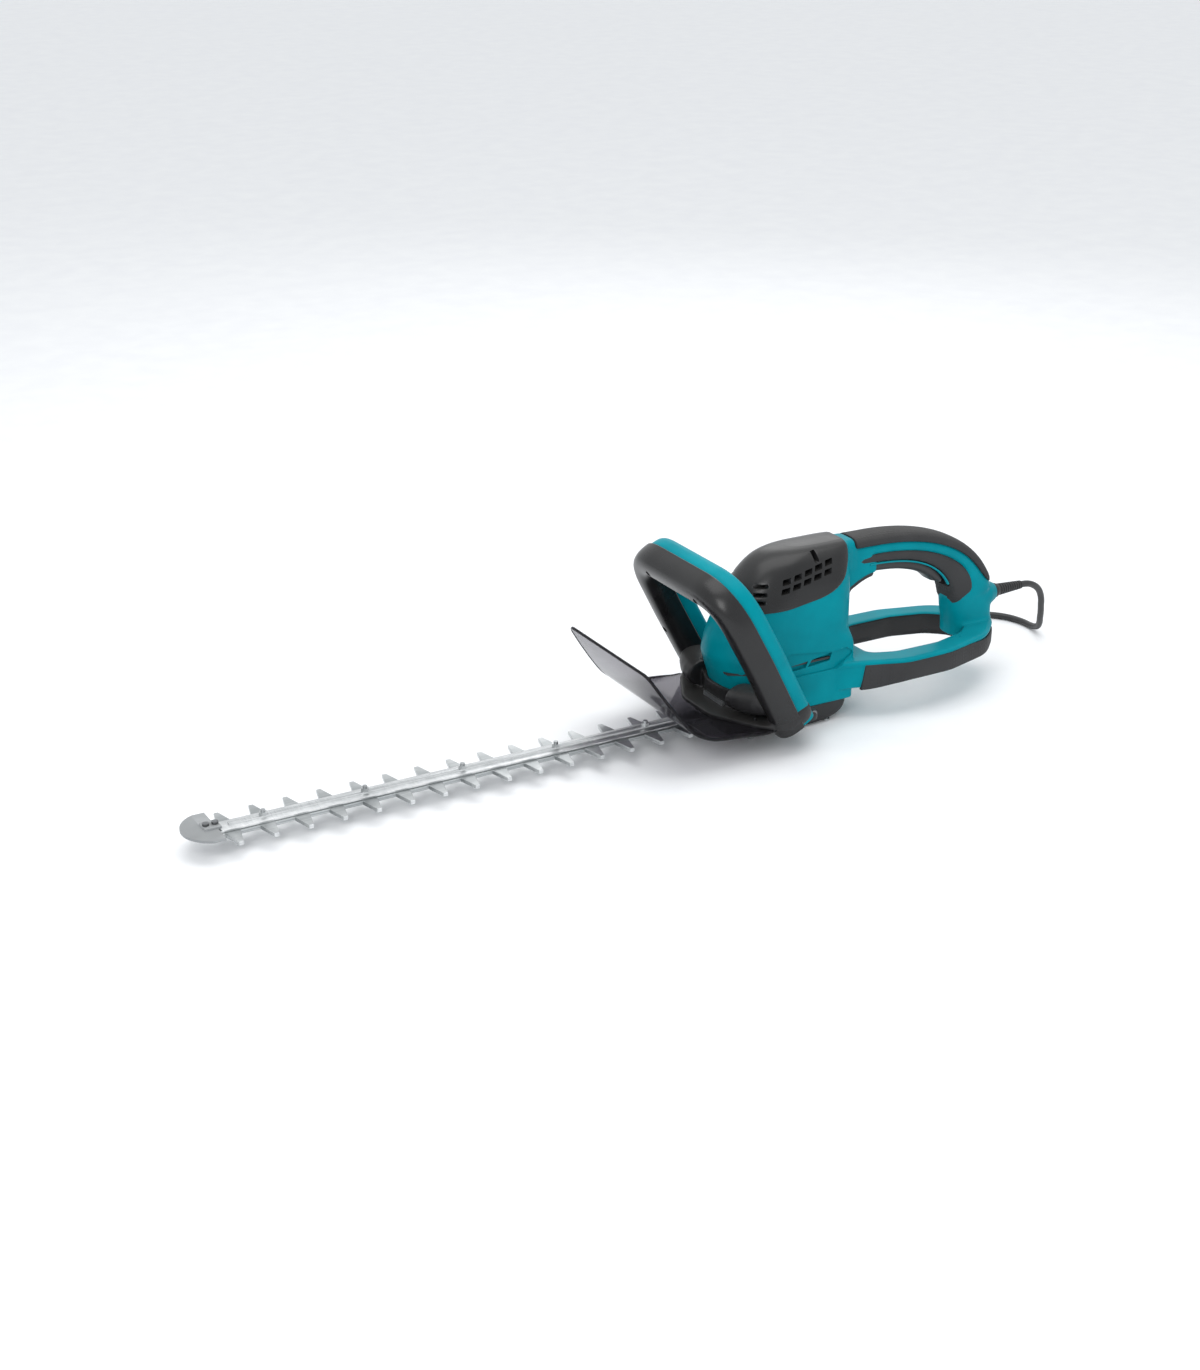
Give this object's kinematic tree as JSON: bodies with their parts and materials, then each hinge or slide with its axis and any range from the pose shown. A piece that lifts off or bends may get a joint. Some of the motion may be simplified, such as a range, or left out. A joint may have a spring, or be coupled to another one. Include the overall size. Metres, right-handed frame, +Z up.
{
  "type": "hedge trimmer",
  "caption": "Electric hedge trimmer with a long double-sided reciprocating blade, smoked hand guard, leaning front loop handle, vented motor body and a rear handle with a trigger.",
  "frame": {"origin": "on the sole's flat underside, straight under the crank's axis", "axes": "+X to the rear along the blade, +Z up, +Y to the operator's right"},
  "size_m": [1.16, 0.2649, 0.2183],
  "materials": {
    "teal_shell": "satin moulded",
    "dark_shell": "satin moulded",
    "dark_plastic": "fine texture",
    "soft_grip": "matte with small dots",
    "smoked_clear": "clear smoked",
    "blade_steel": "ground and brushed",
    "tip_grey": "satin",
    "fastener": "zinc",
    "black_fastener": "black oxide",
    "cast_alloy": "cast",
    "gear_steel": "machined",
    "copper": "enamelled winding",
    "lamination": "stacked laminations",
    "carbon": "carbon",
    "brass": "plain",
    "capacitor_film": "smooth",
    "cord_jacket": "matte jacket"
  },
  "bodies": {
    "machine": {"housing_left": "teal_shell", "housing_right": "teal_shell", "motor_cover": "dark_shell", "base_cover": "dark_plastic", "gear_case": "cast_alloy", "crank_bearings": "gear_steel", "armature_bearings": "gear_steel", "motor_bracket": "dark_plastic", "field_core": "lamination", "field_coils": "copper", "brush_holders": "brass", "brushes": "carbon", "brush_springs": "fastener", "fan_baffle": "dark_plastic", "capacitor": "capacitor_film", "guide_bar": "blade_steel", "tip_protector": "tip_grey", "tip_screws": "black_fastener", "blade_bolts": "fastener", "blade_nuts": "fastener", "guard": "smoked_clear", "guard_screws": "black_fastener", "handle_front": "dark_shell", "handle_rear": "teal_shell", "handle_base": "dark_plastic", "handle_screws": "black_fastener", "front_switch": "dark_plastic", "upper_grip": "soft_grip", "lower_grip": "soft_grip", "ring_skirt": "soft_grip", "ring_liner": "soft_grip", "trigger_pin": "fastener", "rear_switch": "dark_plastic", "switch_leads": "cord_jacket", "cord_clamp": "dark_plastic", "strain_relief": "cord_jacket", "housing_screws": "fastener", "base_screws": "fastener", "cord": "cord_jacket", "plug_body": "cord_jacket", "plug_pins": "brass"},
    "crank": {"crank_shaft": "gear_steel", "crank_gear": "gear_steel"},
    "armature": {"armature_shaft": "gear_steel", "pinion": "gear_steel", "armature_core": "lamination", "armature_windings": "copper", "commutator": "copper", "fan": "dark_plastic"},
    "upper_shear": {"upper_blade": "blade_steel"},
    "lower_shear": {"lower_blade": "blade_steel"},
    "trigger_lever": {"rear_trigger": "dark_plastic", "trigger_spring": "fastener"},
    "switch_lever": {"front_switch_bar": "dark_plastic", "bar_springs": "fastener"}
  },
  "joints": [
    {"name": "crank_spin", "type": "hinge", "parent": "machine", "child": "crank", "pos_m": [0, 0, 0.0319], "axis": [0, 0, 1], "continuous": true},
    {"name": "armature_spin", "type": "hinge", "parent": "machine", "child": "armature", "pos_m": [0.036, 0, 0.0959], "axis": [0, 0, 1], "continuous": true},
    {"name": "lower_shear_slide", "type": "slide", "parent": "machine", "child": "lower_shear", "axis": [1, 0, 0], "range_m": [-0.008, 0.008]},
    {"name": "upper_shear_slide", "type": "slide", "parent": "machine", "child": "upper_shear", "axis": [1, 0, 0], "range_m": [-0.008, 0.008]},
    {"name": "trigger_turn", "type": "hinge", "parent": "machine", "child": "trigger_lever", "pos_m": [0.119, 0, 0.1725], "axis": [0, -1, 0], "range_deg": [0, 4], "stiffness_Nm_per_rad": 1.2, "springref_deg": -14.32, "deforming": ["trigger_spring"]},
    {"name": "switch_bar_slide", "type": "slide", "parent": "machine", "child": "switch_lever", "axis": [-0.4695, 0, 0.8829], "range_m": [0, 0.0045], "stiffness_N_per_m": 900, "springref_m": -0.004, "deforming": ["bar_springs"]}
  ],
  "couplings": [
    {"joint": "armature_spin", "follows": "crank_spin", "ratio": -5},
    {"joint": "upper_shear_slide", "follows": "lower_shear_slide", "ratio": -1}
  ]
}
